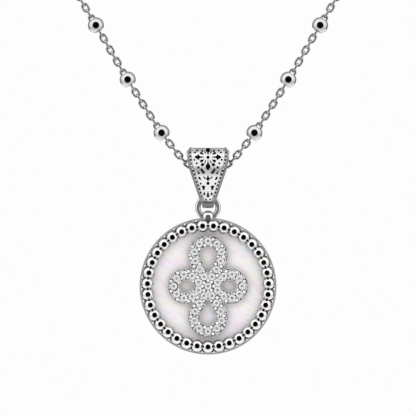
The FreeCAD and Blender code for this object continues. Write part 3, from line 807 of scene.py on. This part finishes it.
bmesh.ops.recalc_face_normals(tray, faces=tray.faces)
add_piece(
    "round_frame", tray, "hanging_pendant",
    [rim_silver, ball_silver, channel_silver, eyelet_silver], ["pendant_frame"],
)


# Pearl. A flat disc of mother-of-pearl shell let into the tray, polished, with faint slanting bands of pink, blue
# and cream.

def shell():
    """Mother-of-pearl: pale grey-white with soft streaks of colour down to the right, under a clear gloss, with
    painted shade next to the raised parts.
    """
    material, tree, place = new_material("mother_of_pearl")
    slant = wire(tree, "ShaderNodeMapping", {
        "Vector": place, "Rotation": (0.0, math.radians(28), 0.0), "Scale": (5.0, 2.0, 1.1),
    }, vector_type="TEXTURE")
    bands = wire(tree, "ShaderNodeTexNoise", {
        "Vector": slant.outputs[0], "Scale": 0.8, "Detail": 3.0, "Roughness": 0.5, "Distortion": 0.5,
    })
    hues = ramp(tree, bands.outputs["Fac"], [
        (0.3, (0.83, 0.95, 1.0)), (0.37, (0.97, 0.965, 1.0)), (0.43, (1.0, 0.84, 0.95)), (0.48, (0.97, 0.96, 0.99)),
        (0.56, (1.0, 0.955, 0.87)), (0.61, (0.97, 0.96, 0.99)), (0.67, (0.83, 0.94, 1.0)),
    ])
    fine = wire(tree, "ShaderNodeTexNoise", {
        "Vector": slant.outputs[0], "Scale": 3.2, "Detail": 5.0, "Roughness": 0.6, "Distortion": 0.2,
    })
    silk = ramp(tree, fine.outputs["Fac"], [(0.3, 0.96), (0.5, 1.0), (0.68, 1.0)])
    # painted shade: the shell darkens a little where ambient occlusion finds raised parts close by
    recess = wire(tree, "ShaderNodeAmbientOcclusion", {"Distance": 0.3 * MM}, samples=8)
    dark = ramp(tree, recess.outputs["AO"], [(0.2, 0.88), (0.5, 1.0)])
    colour = multiply(tree, multiply(tree, hues, silk), dark)
    gloss = wire(tree, "ShaderNodeMapRange", {"Value": fine.outputs["Fac"], "To Min": 0.12, "To Max": 0.22})
    grain = wire(tree, "ShaderNodeBump", {"Height": fine.outputs["Fac"], "Strength": 0.1, "Distance": 0.02 * MM})
    finish_surface(
        tree, {"Base Color": colour, "Roughness": gloss.outputs[0], "Normal": grain.outputs[0]},
        coat_weight=0.1, coat_roughness=0.08,
    )
    return material


dress("pearl_disc", shell())


# Knot. A raised silver plate of four looped petals, laid on the pearl, with a bright-cut border. Beads raised from
# the plate fill the gaps between the stones and grip them.

STONE_RADIUS = 0.5 * MM
CROWN = 0.16 * MM
GRAIN_SIZES = (0.25 * MM, 0.19 * MM, 0.13 * MM, 0.09 * MM)
GRAIN_BORDER = 0.14 * MM
THROAT = 1.6 * MM
THROAT_GRAIN = 0.12 * MM
GRAIN_GRID = 0.12 * MM
GRID_HALF = 60
GRAIN_SINK = 0.02 * MM
SEAT_RADIUS = 0.56 * MM
SEAT_FLOOR = 0.2 * MM
CUT_WIDTH = 0.13 * MM
BORDER_STEP = 0.1 * MM
CRISP_CUT = 30

stone_names = sorted(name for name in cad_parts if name.startswith("stone_"))
stone_middles = []
for name in stone_names:
    low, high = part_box(name)
    stone_middles.append(Vector(((low.x + high.x) / 2, low.y + CROWN, (low.z + high.z) / 2)))

plate_low, plate_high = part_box("knot_plate")
# the plate's silver is painted dark grey as shade, which also draws its dark outline against the pearl
plate_silver = silver("plate_silver", (0.2, 0.19, 0.185), 0.3, 0.4, painted_recess_shade=0.7)
seat_silver = silver("seat_silver", (0.95, 0.945, 0.94), 0.12, 0.5)
grain_silver = silver("grain_silver", (0.97, 0.965, 0.965), 0.2, 0.85, painted_recess_shade=0.3)
cut_silver = silver("bright_cut_silver", (0.85, 0.84, 0.83), 0.15, 0.6)
plate = copy_node("knot_plate")


def by_seat(place):
    """Whether a point seen from the front lies in a stone's seat or on its edge."""
    return any(math.hypot(place.x - stone.x, place.z - stone.z) < SEAT_RADIUS for stone in stone_middles)


edge_rows = []
for edge in plate.edges:
    if len(edge.link_faces) != 2:
        continue
    middle = (edge.verts[0].co + edge.verts[1].co) / 2
    on_top = all(v.co.y < plate_low.y + 0.001 * MM for v in edge.verts)
    corner = edge.calc_face_angle(0) > math.radians(60)
    if on_top and corner and not by_seat(middle):
        edge_rows.append(edge)
border = []
for edge in edge_rows:
    start, end = (v.co.copy() for v in edge.verts)
    count = max(1, int((end - start).length / BORDER_STEP))
    border += [start.lerp(end, n / count) for n in range(count + 1)]
bmesh.ops.bevel(
    plate, geom=edge_rows, offset=CUT_WIDTH, segments=2, profile=0.5, affect="EDGES", clamp_overlap=True, material=3,
)
crease(plate, CRISP_CUT)
for face in plate.faces:
    middle = face.calc_center_median()
    if by_seat(middle) and plate_low.y + 0.002 * MM < middle.y < plate_high.y - SEAT_FLOOR:
        face.material_index = 1


def near_tree(places):
    """A tree that finds the nearest of some places as seen from the front."""
    tree = KDTree(len(places))
    for n, place in enumerate(places):
        tree.insert(Vector((place.x, 0, place.z)), n)
    tree.balance()
    return tree


def grain_places():
    """Beads wherever the plate's top has room between stones and border, the biggest first."""
    stones, edges = near_tree(stone_middles), near_tree(border)
    surface = BVHTree.FromBMesh(plate)
    gaps = []
    for i in range(-GRID_HALF, GRID_HALF + 1):
        for k in range(-GRID_HALF, GRID_HALF + 1):
            place = Vector((i * GRAIN_GRID, 0, disc_middle.z + k * GRAIN_GRID))
            gap = min(stones.find(place)[2] - STONE_RADIUS, edges.find(place)[2] - GRAIN_BORDER)
            if gap < GRAIN_SIZES[-1]:
                continue
            hit = surface.ray_cast(Vector((place.x, plate_low.y - MM, place.z)), Vector((0, 1, 0)))[0]
            if hit and hit.y < plate_low.y + 0.01 * MM:
                gaps.append((gap, place))
    throats = [Vector((x, 0, z)) * THROAT for x, z in ((1, 0), (0, 1), (-1, 0), (0, -1))]
    chosen = [(Vector((0, 0, disc_middle.z)) + throat, THROAT_GRAIN) for throat in throats]
    for size in GRAIN_SIZES:
        for gap, place in gaps:
            if gap >= size and all((place - other).length >= size + radius for other, radius in chosen):
                chosen.append((place, size))
    return chosen


for place, radius in grain_places():
    middle = Vector((place.x, plate_low.y + GRAIN_SINK, place.z))
    lathe(plate, middle, to_front, ball_profile(radius, 8), 12, material_index=2)
bmesh.ops.recalc_face_normals(plate, faces=plate.faces)
add_piece(
    "knot_with_beads", plate, "hanging_pendant",
    [plate_silver, seat_silver, grain_silver, cut_silver], ["knot_plate"],
)


# Stones. Forty-one round brilliants of clear stone, each with a table, crown, thin girdle and pavilion, set face up
# in drilled seats.

TABLE_SHARE = 0.56
STAR_SHARE = 0.78
KEEL_SHARE = 0.3
GIRDLE = 0.04 * MM
PAVILION = 0.42 * MM


def clear_stone():
    """Colourless cut stone: clear and hard, with crisp mirror facets."""
    material, tree, place = new_material("clear_stone")
    speck = wire(tree, "ShaderNodeTexNoise", {"Vector": place, "Scale": 6.0, "Detail": 2.0})
    tone = ramp(tree, speck.outputs["Fac"], [(0.3, (0.97, 0.975, 0.985)), (0.7, (1.0, 1.0, 1.0))])
    finish_surface(tree, {"Base Color": tone}, roughness=0.0, ior=2.1, transmission_weight=1.0)
    return material


def add_brilliant(mesh_data, girdle_middle):
    """One round brilliant facing front, from the middle of its girdle's upper edge."""
    half = math.cos(math.pi / 8)

    def at(step, radius, height):
        turn = 2 * math.pi * step / 16
        return mesh_data.verts.new(
            girdle_middle + Vector((math.cos(turn), 0, math.sin(turn))) * radius + to_front * height
        )

    star_height = CROWN * (1 - STAR_SHARE * half) / (1 - TABLE_SHARE)
    keel_height = -GIRDLE - PAVILION * (1 - KEEL_SHARE * half)
    table = [at(2 * k + 1, STONE_RADIUS * TABLE_SHARE, CROWN) for k in range(8)]
    star = [at(2 * k, STONE_RADIUS * STAR_SHARE, star_height) for k in range(8)]
    upper = [at(j, STONE_RADIUS, 0.0) for j in range(16)]
    lower = [at(j, STONE_RADIUS, -GIRDLE) for j in range(16)]
    keel = [at(2 * k, STONE_RADIUS * KEEL_SHARE, keel_height) for k in range(8)]
    point = at(0, 0.0, -GIRDLE - PAVILION)
    corners = [table]
    for k in range(8):
        m, main, here = (k + 1) % 8, 2 * k + 1, 2 * k
        corners += [
            (table[k], star[k], upper[main], star[m]),
            (star[k], upper[here], upper[main]),
            (star[k], upper[here - 1], upper[here]),
            (point, keel[k], lower[main], keel[m]),
            (keel[k], lower[here], lower[main]),
            (keel[k], lower[here - 1], lower[here]),
            (table[k - 1], table[k], star[k]),
        ]
    for j in range(16):
        corners.append((upper[j], upper[j - 1], lower[j - 1], lower[j]))
    for row in corners:
        face = mesh_data.faces.new(row)
        face.normal_update()
        # every facet faces away from a point inside the stone
        if face.normal.dot(face.calc_center_median() - girdle_middle + to_front * (PAVILION / 3)) < 0:
            face.normal_flip()


brilliants = bmesh.new()
for middle in stone_middles:
    add_brilliant(brilliants, middle)
add_piece("brilliants", brilliants, "hanging_pendant", [clear_stone()], stone_names)
